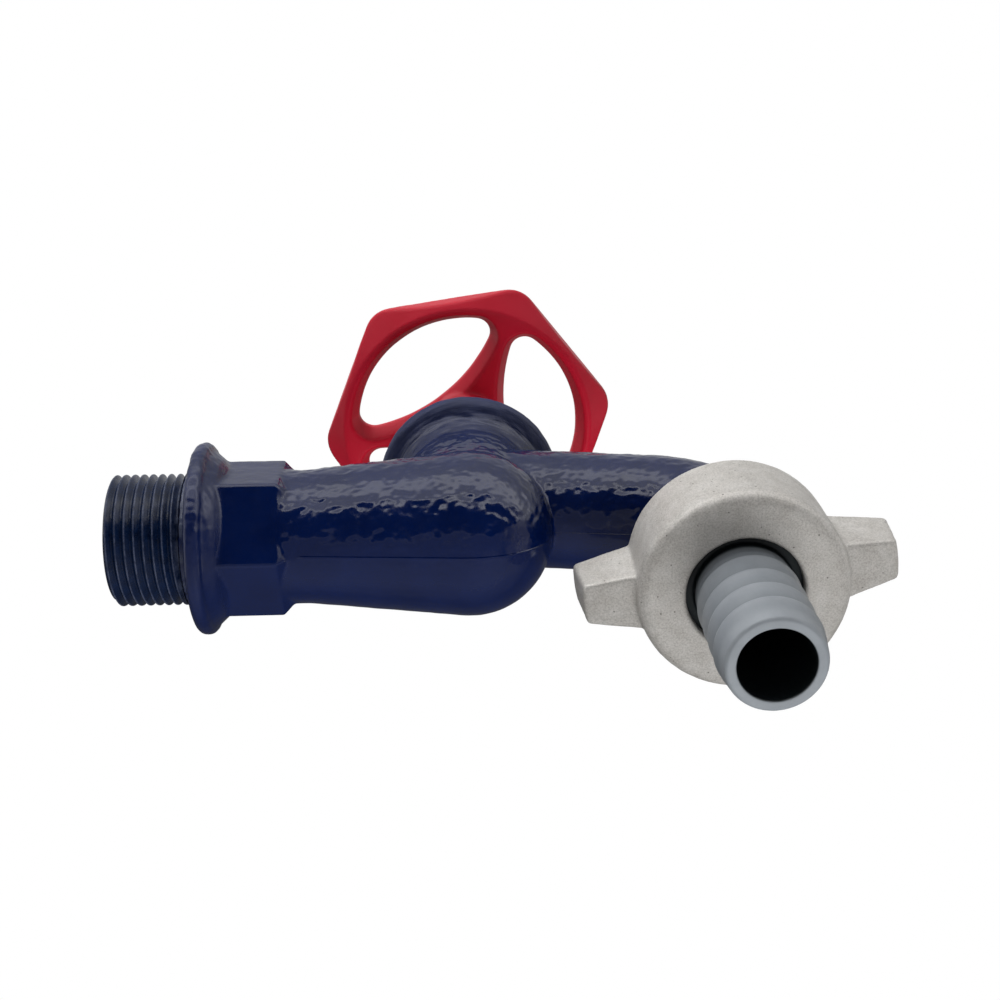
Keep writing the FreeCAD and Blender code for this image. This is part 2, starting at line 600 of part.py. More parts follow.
def jumper():
    """Valve plate with a stem that slides in the spindle and a stud for the washer."""
    stud_low = SEAT_TOP_Z - WASHER_NUT_H - JUMPER_STUD_SPARE
    stem_top = JUMPER_TOP_Z + JUMPER_STEM_L
    edge = SMALL_CHAMFER
    return turned([
        (0, stud_low), (JUMPER_STUD_R - edge, stud_low), (JUMPER_STUD_R, stud_low + edge),
        (JUMPER_STUD_R, JUMPER_BOTTOM_Z), (JUMPER_R, JUMPER_BOTTOM_Z),
        (JUMPER_R, JUMPER_TOP_Z - edge), (JUMPER_R - edge, JUMPER_TOP_Z),
        (JUMPER_STEM_R, JUMPER_TOP_Z), (JUMPER_STEM_R, stem_top - edge),
        (JUMPER_STEM_R - edge, stem_top), (0, stem_top),
    ], SPINDLE_X)


def tap_washer():
    """Soft disc that closes on the seat."""
    return ring(JUMPER_STUD_R, WASHER_R, SEAT_TOP_Z, JUMPER_BOTTOM_Z, SPINDLE_X)


def washer_nut():
    """Small nut that holds the soft disc on the jumper."""
    blank = nut_blank(WASHER_NUT_AF, SEAT_TOP_Z - WASHER_NUT_H, SEAT_TOP_Z, SPINDLE_X)
    hole = cylinder(JUMPER_STUD_R, SEAT_TOP_Z - WASHER_NUT_H - EPS, SEAT_TOP_Z + EPS, SPINDLE_X)
    return one_solid(blank.cut(hole))


# Handle

def opening_outline(z, growth=0.0):
    """Lens-shaped outline of one handle opening, centred on +X, grown outwards by growth."""
    outer_r = HANDLE_VERTEX_R - OPENING_RIM_W + growth
    inner_p = OPENING_INNER_P - growth
    bend_r = OPENING_INNER_BEND_R + growth
    centre_p = inner_p + bend_r
    meet_p = (outer_r ** 2 - bend_r ** 2 + centre_p ** 2) / (2 * centre_p)
    meet_q = math.sqrt(outer_r ** 2 - meet_p ** 2)
    low, high = Vector(meet_p, -meet_q, z), Vector(meet_p, meet_q, z)
    outer = Part.Arc(low, Vector(outer_r, 0, z), high).toShape()
    inner = Part.Arc(high, Vector(inner_p, 0, z), low).toShape()
    return Part.Wire([outer, inner])


def rounded_prism(wire, height, radius):
    """Prism on a flat wire with its upright corners rounded."""
    prism = Part.Face(wire).extrude(Vector(0, 0, height))
    upright = [e for e in prism.Edges
               if abs(abs(e.tangentAt(e.FirstParameter).z) - 1) < TINY and len(e.Vertexes) == 2]
    return prism.makeFillet(radius, upright)


def opening_tool():
    """Cutter for one handle opening, flared at both faces of the handle."""
    low, high = RIM_BOTTOM_Z - EPS, HUB_TOP_Z + EPS
    straight = rounded_prism(opening_outline(low), high - low, OPENING_ROUND)
    flares = [straight]
    for flare, rise, face_z in ((OPENING_FLARE, OPENING_FLARE_H, RIM_BOTTOM_Z),
                                (OPENING_TOP_FLARE, -OPENING_TOP_FLARE, RIM_TOP_Z)):
        over = EPS / abs(rise)
        steps = []
        for growth, z in ((0.0, face_z + rise), (flare * (1 + over), face_z - rise * over)):
            slab = rounded_prism(opening_outline(z, growth), EPS, OPENING_ROUND + growth)
            base = [f for f in slab.Faces if abs(f.BoundBox.ZMax - z) < TINY]
            steps.append(base[0].OuterWire)
        flares.append(Part.makeLoft(steps, True, True))
    return flares


def handle():
    """Six-cornered handwheel with three spokes and three lens-shaped openings."""
    across = 2 * HANDLE_VERTEX_R * math.cos(math.pi / HEX_SIDES)
    prism = hexagon(across, RIM_BOTTOM_Z, RIM_TOP_Z)
    upright = [e for e in prism.Edges if abs(abs(e.tangentAt(e.FirstParameter).z) - 1) < TINY]
    prism = prism.makeFillet(HANDLE_CORNER_ROUND, upright)
    apothem = across / 2
    shell = turned([
        (0, RIM_BOTTOM_Z), (HANDLE_VERTEX_R - HANDLE_CONE_W, RIM_BOTTOM_Z),
        (HANDLE_VERTEX_R, RIM_TOP_Z - HANDLE_EDGE_H),
        (HANDLE_VERTEX_R, RIM_TOP_Z - HANDLE_TOP_CHAMFER / 2),
        (apothem - HANDLE_TOP_CHAMFER, RIM_TOP_Z), (0, RIM_TOP_Z),
    ])
    hub = turned([
        (0, HUB_BOTTOM_Z), (HUB_FOOT_R - HUB_FOOT_CHAMFER, HUB_BOTTOM_Z),
        (HUB_FOOT_R, HUB_BOTTOM_Z + HUB_FOOT_CHAMFER), (HUB_R, RIM_BOTTOM_Z),
        (HUB_R, HUB_TOP_Z - HUB_TOP_CHAMFER), (HUB_R - HUB_TOP_CHAMFER, HUB_TOP_Z), (0, HUB_TOP_Z),
    ])
    wheel = prism.common(shell)
    for k in range(SPOKES):
        for tool in opening_tool():
            wheel = wheel.cut(spun(tool, (2 * k + 1) * 180 / SPOKES))
    half = SQUARE_SIDE / 2 + SQUARE_FIT
    square = Part.makeBox(2 * half, 2 * half, HUB_H + EPS, Vector(-half, -half, HUB_BOTTOM_Z - EPS))
    cut_r = SPINDLE_R - SQUARE_CORNER_CUT + SQUARE_FIT
    corner_cut = cylinder(cut_r, HUB_BOTTOM_Z - EPS, HUB_TOP_Z + EPS)
    recess = cylinder(RECESS_R, RECESS_Z, HUB_TOP_Z + EPS)
    foot_bore = cylinder(SPINDLE_R + SQUARE_FIT, HUB_BOTTOM_Z - EPS, SQUARE_Z + SPINDLE_FIT)
    wheel = wheel.fuse(hub).cut(square.common(corner_cut).fuse([recess, foot_bore]))
    return one_solid(moved(spun(wheel, HANDLE_TURN), SPINDLE_X))


def screw_washer():
    """Flat washer under the handle screw."""
    return ring(SCREW_R + SCREW_FIT, SCREW_WASHER_R, RECESS_Z, RECESS_Z + SCREW_WASHER_T, SPINDLE_X)


def handle_screw():
    """Slotted pan-head screw that holds the handle on the spindle."""
    head_z = RECESS_Z + SCREW_WASHER_T
    tip_z = SPINDLE_TOP_Z - SCREW_L + SCREW_HOLE_SPARE
    top_z = head_z + SCREW_HEAD_H
    blank = turned([
        (0, tip_z), (SCREW_R - SCREW_TIP_CHAMFER, tip_z), (SCREW_R, tip_z + SCREW_TIP_CHAMFER),
        (SCREW_R, head_z), (SCREW_HEAD_R, head_z), (SCREW_HEAD_R, head_z + SCREW_EDGE_H),
        (SCREW_HEAD_R - SCREW_DOME_IN, top_z - SCREW_DOME_DROP),
        (SCREW_HEAD_R - SCREW_TOP_IN, top_z), (0, top_z),
    ])
    slot = Part.makeBox(2 * (SCREW_HEAD_R + EPS), SCREW_SLOT_W, SCREW_SLOT_DEPTH + EPS)
    slot.translate(Vector(-SCREW_HEAD_R - EPS, -SCREW_SLOT_W / 2, top_z - SCREW_SLOT_DEPTH))
    return one_solid(moved(blank.cut(slot), SPINDLE_X))


# Hose union

def wing():
    """One tapered wing, pointing along +X from the outlet axis."""
    root_p = (NUT_BORE_R + NUT_FRONT_R) / 2 - WING_ROOT_SINK
    tip_p = WING_TIP_R + 2 * EPS
    share = (tip_p - root_p) / (WING_TIP_R - root_p)
    root = (WING_ROOT_W, NUT_BACK_Z, NUT_FRONT_Z + WING_ROOT_FRONT)
    end = (WING_TIP_W, NUT_BACK_Z - WING_TIP_BACK, NUT_FRONT_Z + WING_TIP_FRONT)
    tip = [a + (b - a) * share for a, b in zip(root, end)]
    outlines = []
    for p, (width, back, front) in ((root_p, root), (tip_p, tip)):
        half = width / 2
        corners = [Vector(p, -half, front), Vector(p, half, front), Vector(p, half, back),
                   Vector(p, -half, back)]
        outlines.append(Part.makePolygon(corners + corners[:1]))
    block = Part.makeLoft(outlines, True, True)
    tip_slope = (WING_TIP_R - WING_TIP_FRONT_R) / (end[1] - end[2])
    low_r = WING_TIP_FRONT_R - tip_slope * (end[2] - NUT_FRONT_Z)
    high_r = WING_TIP_R + tip_slope * (NUT_BACK_Z + EPS - end[1])
    block = block.common(turned([
        (0, NUT_FRONT_Z), (low_r, NUT_FRONT_Z), (high_r, NUT_BACK_Z + EPS), (0, NUT_BACK_Z + EPS),
    ]))
    outer = [e for e in block.Edges if e.BoundBox.XMax > root_p + EPS]
    return block.makeFillet(WING_ROUND, outer)


def wing_nut():
    """Union nut with two wings."""
    shell = turned([
        (0, NUT_FRONT_Z), (NUT_FRONT_R, NUT_FRONT_Z), (NUT_R, NUT_BACK_Z), (0, NUT_BACK_Z),
    ])
    front_edge = [e for e in shell.Edges if len(e.Vertexes) == 1 and e.BoundBox.ZMax < NUT_FRONT_Z + EPS]
    shell = shell.makeFillet(min(NUT_ROUND, NUT_FRONT_R - NUT_HOLE_R - NUT_HOLE_ROUND - EPS), front_edge)
    bore = cylinder(NUT_BORE_R, NUT_SHOULDER_Z, NUT_BACK_Z + EPS)
    lead_in = turned([
        (0, NUT_BACK_Z - NUT_LEAD_IN), (NUT_BORE_R, NUT_BACK_Z - NUT_LEAD_IN),
        (NUT_BORE_R + NUT_LEAD_IN + EPS, NUT_BACK_Z + EPS), (0, NUT_BACK_Z + EPS),
    ])
    hole = turned([
        (0, NUT_FRONT_Z - EPS), (NUT_HOLE_R + NUT_HOLE_ROUND + EPS, NUT_FRONT_Z - EPS),
        (NUT_HOLE_R, NUT_FRONT_Z + NUT_HOLE_ROUND), (NUT_HOLE_R, NUT_SHOULDER_Z + EPS),
        (0, NUT_SHOULDER_Z + EPS),
    ])
    wings = [spun(wing(), turn) for turn in (0, 180)]
    blank = shell.fuse(wings).cut(bore.fuse([lead_in, hole]))
    return one_solid(moved(spun(blank, WING_TURN), OUTLET_X))


def outlet_gasket():
    """Rubber ring between the spout's end and the hose tail."""
    return ring(OUTLET_GASKET_HOLE_R, UNION_FLANGE_R, TAIL_TOP_Z, OUTLET_END_Z, OUTLET_X)


def hose_tail():
    """Flanged hose tail with barbs that grip the hose."""
    mouth_z = TAIL_TOP_Z - TAIL_LENGTH
    outline = [
        (SPOUT_BORE_R, TAIL_TOP_Z), (UNION_FLANGE_R, TAIL_TOP_Z), (UNION_FLANGE_R, NUT_SHOULDER_Z),
        (TAIL_ROOT_R, NUT_SHOULDER_Z),
    ]
    for k in range(BARB_COUNT):
        crest = mouth_z + BARB_MOUTH_GAP + (BARB_COUNT - 1 - k) * BARB_PITCH
        outline += [(TAIL_ROOT_R, crest + BARB_LAND + BARB_BACK_H), (TAIL_CREST_R, crest + BARB_LAND),
                    (TAIL_CREST_R, crest)]
        if k < BARB_COUNT - 1:
            outline.append((TAIL_ROOT_R, crest - BARB_PITCH + BARB_LAND + BARB_GROOVE_H))
    outline += [
        (TAIL_MOUTH_R, mouth_z + TAIL_MOUTH_H), (TAIL_TIP_R, mouth_z + TAIL_MOUTH_ROUND),
        (TAIL_TIP_R - TAIL_MOUTH_ROUND, mouth_z), (TAIL_BORE_R + TAIL_BORE_CHAMFER, mouth_z),
        (TAIL_BORE_R, mouth_z + TAIL_BORE_CHAMFER), (TAIL_BORE_R, NUT_SHOULDER_Z),
    ]
    return turned(outline, OUTLET_X)


PARTS = {
    "tap_body": tap_body,
    "seat_ring": seat_ring,
    "bonnet_gasket": bonnet_gasket,
    "bonnet": bonnet,
    "gland_washer": gland_washer,
    "gland_follower": gland_follower,
    "gland_nut": gland_nut,
    "spindle": spindle,
    "jumper": jumper,
    "tap_washer": tap_washer,
    "washer_nut": washer_nut,
    "handle": handle,
    "screw_washer": screw_washer,
    "handle_screw": handle_screw,
    "outlet_gasket": outlet_gasket,
    "wing_nut": wing_nut,
    "hose_tail": hose_tail,
}
for ring_index in range(PACKING_COUNT):
    PARTS[f"packing_ring_{ring_index + 1}"] = partial(packing_ring, ring_index)


def main():
    os.makedirs("parts", exist_ok=True)
    for name, make in PARTS.items():
        shape = make()
        solids = shape.Solids
        bad = [s for s in solids if not s.isValid() or s.Volume <= 0]
        if bad or not solids:
            raise ValueError(f"{name} is not made of sound solids")
        shape.exportStep(f"parts/{name}.step")
        box = shape.BoundBox
        print(f"{name}: {len(solids)} solid, {shape.Volume:.0f} mm3, "
              f"x {box.XMin:.1f} to {box.XMax:.1f}, y {box.YMin:.1f} to {box.YMax:.1f}, "
              f"z {box.ZMin:.1f} to {box.ZMax:.1f}")


main()
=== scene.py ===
"""Looks of the garden tap: lumpy navy enamel, a red moulded handle, raw cast aluminium and grey plastic.

The scene is in metres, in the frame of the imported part: +X from the wall, +Z up to the handle.
"""
import json
import math

import bmesh
import bpy
import numpy as np
from mathutils import Matrix, Vector, noise

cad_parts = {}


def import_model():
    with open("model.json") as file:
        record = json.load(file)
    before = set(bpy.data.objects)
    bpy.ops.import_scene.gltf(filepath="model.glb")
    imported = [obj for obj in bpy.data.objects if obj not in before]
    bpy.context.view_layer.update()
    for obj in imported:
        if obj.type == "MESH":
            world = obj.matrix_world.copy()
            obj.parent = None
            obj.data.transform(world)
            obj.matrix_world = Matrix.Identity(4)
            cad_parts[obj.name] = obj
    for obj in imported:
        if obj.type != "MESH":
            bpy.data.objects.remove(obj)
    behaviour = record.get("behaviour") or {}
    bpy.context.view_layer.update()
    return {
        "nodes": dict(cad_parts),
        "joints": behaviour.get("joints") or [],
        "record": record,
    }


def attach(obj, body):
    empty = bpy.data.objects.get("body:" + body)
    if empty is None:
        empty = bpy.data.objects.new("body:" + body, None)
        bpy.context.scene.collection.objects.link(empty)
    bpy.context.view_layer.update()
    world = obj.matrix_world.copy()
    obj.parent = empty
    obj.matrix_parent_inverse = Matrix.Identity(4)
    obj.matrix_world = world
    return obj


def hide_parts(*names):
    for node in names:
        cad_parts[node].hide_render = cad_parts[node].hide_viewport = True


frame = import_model()

MM = 0.001


def mm(*lengths):
    """Millimetres in metres."""
    return tuple(length * MM for length in lengths)


def hinge_x(name):
    """Where a hinge's upright axis stands along X."""
    return next(joint["pos_m"][0] for joint in frame["joints"] if joint["name"] == name)


# Places on the part. A pair is where a soft edge starts and where it is complete.
SPINDLE_X = hinge_x("spindle_turn")
OUTLET_X = hinge_x("nut_turn")
INLET_THREAD_END_X = -1.7 * MM       # where the inlet thread ends at its neck
OUTLET_THREAD_TOP_Z = -13.2 * MM
OUTLET_SIDE_X = 85 * MM              # the outlet thread lies beyond it
BOSS_NECK_R = 14.6 * MM
HEXAGON_START_X = mm(4.0, 6.5)
HEXAGON_END_X = mm(16.5, 19.0)
CREST_R = mm(12.98, 13.18)           # inlet thread, where its crests are paler
HUB_R = 6.8 * MM                     # handle's hub
NUT_THREAD_R = 17.2 * MM             # nut's bore, above NUT_FLOOR_Z
NUT_FLOOR_Z = -28.5 * MM
# Painted shade on the tail: near black inside this bore radius, and above this height inside the nut
SHADED_BORE_R = mm(6.72, 7.00)
SHADED_UNDER_NUT_Z = mm(-31.6, -30.2)
LOW_CREST_Z = -52.15 * MM            # the barb nearest the tail's mouth
BARB_PITCH = 5.6 * MM
BARBS = 4
BARB_FLANK = 0.82                    # long flank's share of a barb

# Smoothing: how far a point goes towards the middle of its neighbours in one round
SOFT = 0.5
FIRM = 0.23
FITTED = 0.15

# Casting skin: size of the lumps, seed, and depth in millimetres all over and on the rough side
CASTING_LUMPS = [(2.4 * MM, 1, 0.045, 0.085), (1.2 * MM, 2, 0.010, 0.085), (0.7 * MM, 3, 0.0, 0.02)]

# Colours: linear, dark and light where there are two
NAVY = (0.0003, 0.0048, 0.038), (0.0006, 0.0066, 0.050)
THREAD_NAVY = (0.0005, 0.004, 0.018), (0.0012, 0.008, 0.034)
PALE_NAVY = (0.045, 0.055, 0.095)
RED = (0.39, 0.0052, 0.019), (0.46, 0.0078, 0.027)
CAST_PATCHES = (0.35, 0.326, 0.300), (0.52, 0.506, 0.484)
CAST_GRAIN = (0.26, 0.25, 0.234), (0.60, 0.58, 0.55)
CAST_SPECK = (0.05, 0.047, 0.043)
GREY = (0.185, 0.202, 0.221), (0.225, 0.244, 0.265)
# Painted shade on the hose tail: darker at the foot of each barb, near black down its bore and inside the
# nut
GREY_BARB_SHADE = (0.090, 0.103, 0.118)
UNLIT = (0.006, 0.009, 0.011)
BRASS = (0.60, 0.38, 0.13), (0.72, 0.48, 0.19)
STEEL = (0.50, 0.50, 0.50), (0.62, 0.62, 0.63)
BLACK_RUBBER = (0.012, 0.012, 0.012), (0.022, 0.022, 0.023)
RED_FIBRE = (0.18, 0.035, 0.02), (0.28, 0.06, 0.035)
GRAPHITE = (0.03, 0.03, 0.032), (0.08, 0.08, 0.085)


# Mesh helpers

def copy_of(node, name):
    """New object with a welded copy of a CAD node's mesh."""
    mesh = frame["nodes"][node].data.copy()
    mesh.name = name
    mesh.materials.clear()
    bm = bmesh.new()
    bm.from_mesh(mesh)
    bmesh.ops.remove_doubles(bm, verts=bm.verts, dist=0.002 * MM)
    bm.to_mesh(mesh)
    bm.free()
    piece = bpy.data.objects.new(name, mesh)
    bpy.context.scene.collection.objects.link(piece)
    return piece


def remeshed(piece, voxel):
    """Give a piece an even mesh, with the modifier applied."""
    modifier = piece.modifiers.new("remesh", "REMESH")
    modifier.mode = "VOXEL"
    modifier.voxel_size = voxel
    modifier.adaptivity = 0.0
    graph = bpy.context.evaluated_depsgraph_get()
    mesh = bpy.data.meshes.new_from_object(piece.evaluated_get(graph))
    old = piece.data
    piece.modifiers.clear()
    piece.data = mesh
    mesh.name = old.name
    bpy.data.meshes.remove(old)


def points_of(piece):
    data = np.empty(len(piece.data.vertices) * 3, np.float32)
    piece.data.vertices.foreach_get("co", data)
    return data.reshape(-1, 3).astype(float)


def set_points(piece, points):
    piece.data.vertices.foreach_set("co", points.astype(np.float32).ravel())
    piece.data.update()


def normals_of(piece):
    data = np.empty(len(piece.data.vertices) * 3, np.float32)
    piece.data.vertex_normals.foreach_get("vector", data)
    return data.reshape(-1, 3).astype(float)


def neighbours(piece):
    data = np.empty(len(piece.data.edges) * 2, np.int64)
    piece.data.edges.foreach_get("vertices", data)
    return data.reshape(-1, 2)


def smoothed(points, edges, weight, rounds):
    """Points moved towards the mean of their neighbours, by a weight for each point."""
    count = np.bincount(edges.ravel(), minlength=len(points)).astype(float)[:, None]
    count[count == 0] = 1
    for _ in range(rounds):
        total = np.zeros_like(points)
        for axis in range(3):
            total[:, axis] = (
                np.bincount(edges[:, 0], points[edges[:, 1], axis], len(points))
                + np.bincount(edges[:, 1], points[edges[:, 0], axis], len(points))
            )
        points = points + weight[:, None] * (total / count - points)
    return points


def push_out(piece, height_mm):
    """Move each point along its normal."""
    set_points(piece, points_of(piece) + normals_of(piece) * (height_mm * MM)[:, None])


def lumps(points, size, seed):
    """Soft noise from -1 to 1 at each point, with features of about the given size."""
    offset = Vector((seed * 3.7, seed * 1.3, seed * 5.1))
    return np.array([noise.noise(Vector(p) / size + offset) for p in points])


def radius_round(points, axis_x):
    """Distance from an upright axis."""
    return np.hypot(points[:, 0] - axis_x, points[:, 1])


def in_mm(points, axis_x):
    """The three coordinates in millimetres, from an upright axis."""
    return (points[:, 0] - axis_x) / MM, points[:, 1] / MM, points[:, 2] / MM


def from_mm(x, y, z, axis_x):
    return np.stack([axis_x + x * MM, y * MM, z * MM], 1)


def step(value, low, high):
    """Smooth ramp from 0 to 1."""
    t = np.clip((value - low) / (high - low), 0, 1)
    return t * t * (3 - 2 * t)


def band(value, start, end):
    """1 between two soft edges and 0 outside them."""
    return step(value, *start) * (1 - step(value, *end))


def smooth_shade(piece, crease_degrees=None):
    piece.data.polygons.foreach_set("use_smooth", [True] * len(piece.data.polygons))
    if crease_degrees is not None:
        piece.data.set_sharp_from_angle(angle=math.radians(crease_degrees))
    piece.data.update()


def delete_faces(piece, doomed):
    """Delete the faces whose centre passes a test, with the edges and points that they leave loose."""
    bm = bmesh.new()
    bm.from_mesh(piece.data)
    faces = [f for f in bm.faces if doomed(f.calc_center_median())]
    bmesh.ops.delete(bm, geom=faces, context="FACES")
    bm.to_mesh(piece.data)
    bm.free()


def absorb(first, second):
    """Add the second object's geometry to the first and delete the second."""
    bm = bmesh.new()
    bm.from_mesh(first.data)
    bm.from_mesh(second.data)
    bm.to_mesh(first.data)
    bm.free()
    mesh = second.data
    bpy.data.objects.remove(second)
    bpy.data.meshes.remove(mesh)


# Material helpers

def rgba(value):
    """Colour from three channels, or grey from one level."""
    return (*value, 1) if hasattr(value, "__len__") else (value, value, value, 1)


class Nodes:
    """Short way to write a material's node tree. Sizes and depths of texture are in millimetres."""

    ROUND_X = (0, 1, 1)
    ROUND_Z = (1, 1, 0)

    def __init__(self, name):
        self.material = bpy.data.materials.new(name)
        self.material.use_nodes = True
        self.tree = self.material.node_tree
        self.shader = self.tree.nodes["Principled BSDF"]
        self.place = self.new("ShaderNodeTexCoord").outputs["Object"]

    def new(self, kind, **values):
        node = self.tree.nodes.new(kind)
        for key, value in values.items():
            setattr(node, key, value)
        return node

    def feed(self, socket, value):
        """Link a socket to another, or set its constant."""
        if isinstance(value, bpy.types.NodeSocket):
            self.tree.links.new(value, socket)
        else:
            socket.default_value = value

    def noise(self, size_mm, detail=2.0, rough=0.5, place=None):
        node = self.new("ShaderNodeTexNoise")
        self.feed(node.inputs["Vector"], self.place if place is None else place)
        node.inputs["Scale"].default_value = 1 / (size_mm * MM)
        node.inputs["Detail"].default_value = detail
        node.inputs["Roughness"].default_value = rough
        return node.outputs["Fac"]

    def cells(self, size_mm):
        """Distance from the middle of scattered cells."""
        node = self.new("ShaderNodeTexVoronoi")
        self.feed(node.inputs["Vector"], self.place)
        node.inputs["Scale"].default_value = 1 / (size_mm * MM)
        return node.outputs["Distance"]

    def ramp(self, source, stops):
        node = self.new("ShaderNodeValToRGB")
        self.feed(node.inputs["Fac"], source)
        elements = node.color_ramp.elements
        while len(elements) < len(stops):
            elements.new(0.5)
        for element, (position, value) in zip(elements, stops):
            element.position = position
            element.color = rgba(value)
        return node.outputs["Color"]

    def shades(self, source, values, low=0.3, high=0.7):
        """From the first value to the second as the source goes from low to high."""
        return self.ramp(source, [(low, values[0]), (high, values[1])])

    def mix(self, factor, a, b):
        node = self.new("ShaderNodeMix", data_type="RGBA")
        self.feed(node.inputs["Factor"], factor)
        color_a, color_b, color_out = node.inputs[6], node.inputs[7], node.outputs[2]
        for socket, value in ((color_a, a), (color_b, b)):
            self.feed(socket, value if isinstance(value, bpy.types.NodeSocket) else rgba(value))
        return color_out

    def bump(self, height, depth_mm, strength, below=None):
        node = self.new("ShaderNodeBump")
        node.inputs["Strength"].default_value = strength
        node.inputs["Distance"].default_value = depth_mm * MM
        self.feed(node.inputs["Height"], height)
        if below is not None:
            self.feed(node.inputs["Normal"], below)
        return node.outputs["Normal"]

    def radius(self, kept, centre_x=0.0):
        """Distance from an axis through (centre_x, 0, 0): ROUND_X keeps Y and Z, ROUND_Z keeps X and Y."""
        away = self.new("ShaderNodeVectorMath", operation="SUBTRACT")
        self.feed(away.inputs[0], self.place)
        away.inputs[1].default_value = (centre_x, 0, 0)
        flat = self.new("ShaderNodeVectorMath", operation="MULTIPLY")
        self.feed(flat.inputs[0], away.outputs[0])
        flat.inputs[1].default_value = kept
        length = self.new("ShaderNodeVectorMath", operation="LENGTH")
        self.feed(length.inputs[0], flat.outputs[0])
        return length.outputs["Value"]

    def along(self, axis):
        split = self.new("ShaderNodeSeparateXYZ")
        self.feed(split.inputs[0], self.place)
        return split.outputs[axis]

    def packed(self, *values):
        """Vector from three numbers or sockets."""
        node = self.new("ShaderNodeCombineXYZ")
        for socket, value in zip(node.inputs, values):
            self.feed(socket, value)
        return node.outputs[0]

    def between(self, source, low, high):
        """Smooth ramp from 0 to 1 as a value goes from low to high, where low may be the larger."""
        node = self.new("ShaderNodeMapRange", interpolation_type="SMOOTHSTEP")
        self.feed(node.inputs["Value"], source)
        node.inputs["From Min"].default_value = low
        node.inputs["From Max"].default_value = high
        return node.outputs["Result"]

    def math(self, operation, a, b):
        node = self.new("ShaderNodeMath", operation=operation)
        for socket, value in zip(node.inputs, (a, b)):
            self.feed(socket, value)
        return node.outputs[0]

    def times(self, a, b):
        return self.math("MULTIPLY", a, b)

    def set(self, **values):
        """Constants on the shader, with _ for a space in a socket's name."""
        for key, value in values.items():
            self.shader.inputs[key.replace("_", " ")].default_value = value

    def to(self, source, socket):
        self.feed(self.shader.inputs[socket], source)


# Materials

def rubbed_near(n, thread_edge):
    """Patches where paint is rubbed thin towards an edge of the inlet thread."""
    return n.times(n.between(n.along("X"), *thread_edge), n.between(n.noise(2.2, 3.0), 0.3, 0.7))


def enamel_blue():
    """Thick glossy paint. It is duller and brushed in rings on the boss, and thin beside the thread."""
    thread_edge_x, flange_x = mm(0.4, -0.6), mm(7.5, 5.5)
    boss_z, boss_r, rim_r = mm(18.5, 21.5), mm(21.5, 20.3), mm(15.5, 18.5)
    barrel_start_x, barrel_end_x = mm(20.5, 22.5), mm(98, 95)
    seam_start, seam_end = (-0.125, -0.100), (-0.080, -0.100)

    n = Nodes("body_enamel")
    paint = n.shades(n.noise(9.0, 3.0), NAVY)
    thin = rubbed_near(n, thread_edge_x)
    n.to(n.mix(thin, paint, PALE_NAVY), "Base Color")

    from_spindle = n.radius(Nodes.ROUND_Z, SPINDLE_X)
    boss = n.times(n.between(n.along("Z"), *boss_z), n.between(from_spindle, *boss_r))
    gloss = n.shades(n.noise(1.6, 3.0), (0.12, 0.21), high=0.75)
    satin = n.mix(n.between(from_spindle, *rim_r), 0.24, 0.52)
    flange_and_boss = n.math("MAXIMUM", boss, n.between(n.along("X"), *flange_x))
    n.to(n.mix(flange_and_boss, gloss, n.mix(boss, 0.28, satin)), "Roughness")

    ripple = n.bump(n.noise(1.1, 3.0, 0.55), depth_mm=0.03, strength=0.4)
    fine = n.bump(n.noise(0.35), depth_mm=0.006, strength=0.5, below=ripple)
    stretched = n.packed(from_spindle, n.along("Z"), n.times(n.along("X"), 0.16))
    rings = n.times(n.noise(0.8, 3.0, 0.6, place=stretched), boss)
    brushed = n.bump(rings, depth_mm=0.12, strength=0.7, below=fine)
    turn = n.math("ARCTAN2", n.along("Y"), n.times(n.along("Z"), -1.0))
    seam = n.times(n.between(turn, *seam_start), n.between(turn, *seam_end))
    barrel = n.times(n.between(n.along("X"), *barrel_start_x), n.between(n.along("X"), *barrel_end_x))
    n.to(n.bump(n.times(seam, barrel), depth_mm=0.14, strength=0.9, below=brushed), "Normal")
    n.set(Specular_IOR_Level=0.5)
    return n.material


def enamel_thread():
    """Thin paint on a cut thread, paler on the crests, and rubbed through to a paler tone at the run-out.
    """
    n = Nodes("thread_enamel")
    paint = n.shades(n.noise(2.0, 3.0), THREAD_NAVY)
    # Paler tone on the crests
    crest = n.between(n.radius(Nodes.ROUND_X), *CREST_R)
    pale_crests = n.times(crest, n.shades(n.noise(1.5, 3.0), (0.3, 1.0), low=0.35, high=0.6))
    thin = n.math("MAXIMUM", pale_crests, rubbed_near(n, mm(-3.6, -2.0)))
    n.to(n.mix(thin, paint, PALE_NAVY), "Base Color")
    n.to(n.shades(n.noise(1.2, 3.0), (0.2, 0.34)), "Roughness")
    n.to(n.bump(n.noise(0.5, 3.0), depth_mm=0.012, strength=0.5), "Normal")
    n.set(Specular_IOR_Level=0.3)
    return n.material


def enamel_red():
    """Satin paint over a slightly wavy casting."""
    n = Nodes("handle_enamel")
    n.to(n.shades(n.noise(14.0, 3.0), RED), "Base Color")
    n.to(n.shades(n.noise(3.0, 3.0), (0.28, 0.38)), "Roughness")
    wave = n.bump(n.noise(3.5), depth_mm=0.012, strength=0.3)
    n.to(n.bump(n.noise(0.5), depth_mm=0.005, strength=0.5, below=wave), "Normal")
    n.set(Specular_IOR_Level=0.14)
    return n.material


